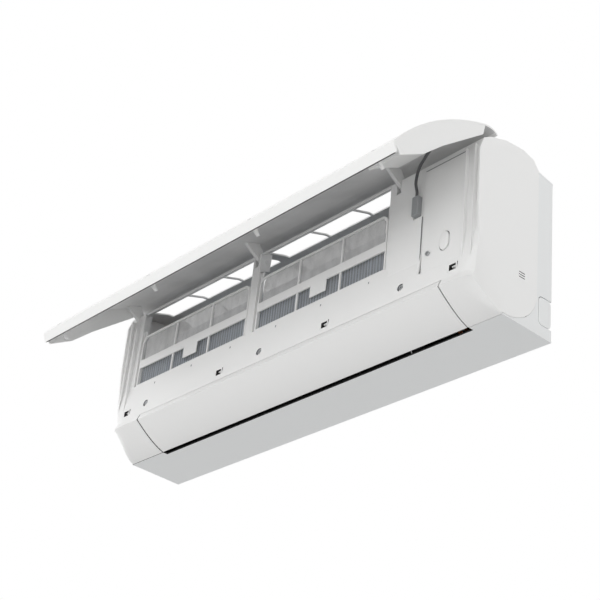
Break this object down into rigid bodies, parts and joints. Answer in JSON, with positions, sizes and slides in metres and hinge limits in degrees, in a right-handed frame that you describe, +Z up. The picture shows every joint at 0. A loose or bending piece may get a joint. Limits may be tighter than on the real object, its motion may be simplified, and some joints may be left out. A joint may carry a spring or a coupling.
{
  "type": "mini split indoor unit",
  "caption": "Wall-hung indoor air conditioner with its front panel raised over the filters, a curved louver, a cross-flow blower, a folded coil and a wall plate.",
  "frame": {"origin": "middle of the wall plate's back face, on the wall", "axes": "+X to the right of a person who faces the unit, +Y into the wall, +Z up"},
  "size_m": [0.835, 0.3149, 0.2878],
  "materials": {
    "white_plastic": "satin",
    "base_plastic": "matte",
    "net": "matte",
    "fins": "satin",
    "copper": "satin",
    "steel": "satin",
    "dark_plastic": "matte",
    "grey_plastic": "matte",
    "board": "matte",
    "brass": "satin",
    "rubber": "matte"
  },
  "bodies": {
    "chassis": {"wall_plate": "steel", "rear_base": "base_plastic", "pipe_cover_left": "base_plastic", "pipe_cover_right": "base_plastic", "front_frame": "white_plastic", "coil_end_left": "copper", "coil_end_right": "copper", "coil_lower": "fins", "coil_upper": "fins", "coil_rear": "fins", "drain_pan": "base_plastic", "gas_pipe": "copper", "liquid_pipe": "copper", "gas_nut": "brass", "liquid_nut": "brass", "wheel_bearing": "rubber", "blower_motor": "steel", "motor_clamp": "grey_plastic", "louver_motor": "steel", "electrical_box": "grey_plastic", "service_cover": "white_plastic", "control_board": "board", "terminal_block": "dark_plastic", "cover_screw": "steel", "display_lead": "dark_plastic", "lead_plug": "grey_plastic", "panel_catch_1": "white_plastic", "panel_catch_2": "white_plastic", "panel_catch_3": "white_plastic", "panel_catch_4": "white_plastic", "frame_screw_1": "steel", "frame_screw_2": "steel", "frame_screw_3": "steel"},
    "front_panel": {"front_panel": "white_plastic", "display_housing": "white_plastic"},
    "louver": {"louver": "white_plastic"},
    "blower": {"blower_wheel": "dark_plastic", "motor_shaft": "steel"},
    "manual_button": {"manual_button": "white_plastic"},
    "filter_left": {"filter_frame_left": "white_plastic", "filter_net_left": "net"},
    "vane_left_1": {"vane_left_1": "dark_plastic"},
    "vane_left_2": {"vane_left_2": "dark_plastic"},
    "vane_left_3": {"vane_left_3": "dark_plastic"},
    "vane_left_4": {"vane_left_4": "dark_plastic"},
    "vane_link_left": {"vane_link_left": "dark_plastic"},
    "filter_right": {"filter_frame_right": "white_plastic", "filter_net_right": "net"},
    "vane_right_1": {"vane_right_1": "dark_plastic"},
    "vane_right_2": {"vane_right_2": "dark_plastic"},
    "vane_right_3": {"vane_right_3": "dark_plastic"},
    "vane_right_4": {"vane_right_4": "dark_plastic"},
    "vane_link_right": {"vane_link_right": "dark_plastic"}
  },
  "joints": [
    {"name": "panel_hinge", "type": "hinge", "parent": "chassis", "child": "front_panel", "pos_m": [0, -0.134, 0.111], "axis": [-1, 0, 0], "range_deg": [-52, 8], "deforming": ["display_lead"]},
    {"name": "louver_hinge", "type": "hinge", "parent": "chassis", "child": "louver", "pos_m": [0, -0.108, -0.121], "axis": [1, 0, 0], "range_deg": [0, 80]},
    {"name": "blower_spin", "type": "hinge", "parent": "chassis", "child": "blower", "pos_m": [0, -0.066, -0.033], "axis": [1, 0, 0], "continuous": true},
    {"name": "button_press", "type": "slide", "parent": "chassis", "child": "manual_button", "axis": [0, 1, 0], "range_m": [0, 0.0015], "stiffness_N_per_m": 400, "springref_m": -0.0008},
    {"name": "filter_left_slide", "type": "slide", "parent": "chassis", "child": "filter_left", "axis": [0, 0, 1], "range_m": [0, 0.01]},
    {"name": "vane_left_1_turn", "type": "hinge", "parent": "chassis", "child": "vane_left_1", "pos_m": [-0.33397, -0.0912, -0.0923], "axis": [0, 0.7314, -0.682], "range_deg": [-25, 25]},
    {"name": "vane_left_2_turn", "type": "hinge", "parent": "chassis", "child": "vane_left_2", "pos_m": [-0.25891, -0.0912, -0.0923], "axis": [0, 0.7314, -0.682], "range_deg": [-25, 25]},
    {"name": "vane_left_3_turn", "type": "hinge", "parent": "chassis", "child": "vane_left_3", "pos_m": [-0.18384, -0.0912, -0.0923], "axis": [0, 0.7314, -0.682], "range_deg": [-25, 25]},
    {"name": "vane_left_4_turn", "type": "hinge", "parent": "chassis", "child": "vane_left_4", "pos_m": [-0.10878, -0.0912, -0.0923], "axis": [0, 0.7314, -0.682], "range_deg": [-25, 25]},
    {"name": "vane_link_left_slide", "type": "slide", "parent": "chassis", "child": "vane_link_left", "axis": [1, 0, 0], "range_m": [-0.0037, 0.0037]},
    {"name": "filter_right_slide", "type": "slide", "parent": "chassis", "child": "filter_right", "axis": [0, 0, 1], "range_m": [0, 0.01]},
    {"name": "vane_right_1_turn", "type": "hinge", "parent": "chassis", "child": "vane_right_1", "pos_m": [-0.03372, -0.0912, -0.0923], "axis": [0, 0.7314, -0.682], "range_deg": [-25, 25]},
    {"name": "vane_right_2_turn", "type": "hinge", "parent": "chassis", "child": "vane_right_2", "pos_m": [0.04134, -0.0912, -0.0923], "axis": [0, 0.7314, -0.682], "range_deg": [-25, 25]},
    {"name": "vane_right_3_turn", "type": "hinge", "parent": "chassis", "child": "vane_right_3", "pos_m": [0.11641, -0.0912, -0.0923], "axis": [0, 0.7314, -0.682], "range_deg": [-25, 25]},
    {"name": "vane_right_4_turn", "type": "hinge", "parent": "chassis", "child": "vane_right_4", "pos_m": [0.19147, -0.0912, -0.0923], "axis": [0, 0.7314, -0.682], "range_deg": [-25, 25]},
    {"name": "vane_link_right_slide", "type": "slide", "parent": "chassis", "child": "vane_link_right", "axis": [1, 0, 0], "range_m": [-0.0037, 0.0037]}
  ],
  "couplings": [
    {"joint": "vane_left_1_turn", "follows": "vane_link_left_slide", "rad_per_m": 117},
    {"joint": "vane_left_2_turn", "follows": "vane_link_left_slide", "rad_per_m": 117},
    {"joint": "vane_left_3_turn", "follows": "vane_link_left_slide", "rad_per_m": 117},
    {"joint": "vane_left_4_turn", "follows": "vane_link_left_slide", "rad_per_m": 117},
    {"joint": "vane_right_1_turn", "follows": "vane_link_right_slide", "rad_per_m": 117},
    {"joint": "vane_right_2_turn", "follows": "vane_link_right_slide", "rad_per_m": 117},
    {"joint": "vane_right_3_turn", "follows": "vane_link_right_slide", "rad_per_m": 117},
    {"joint": "vane_right_4_turn", "follows": "vane_link_right_slide", "rad_per_m": 117}
  ]
}
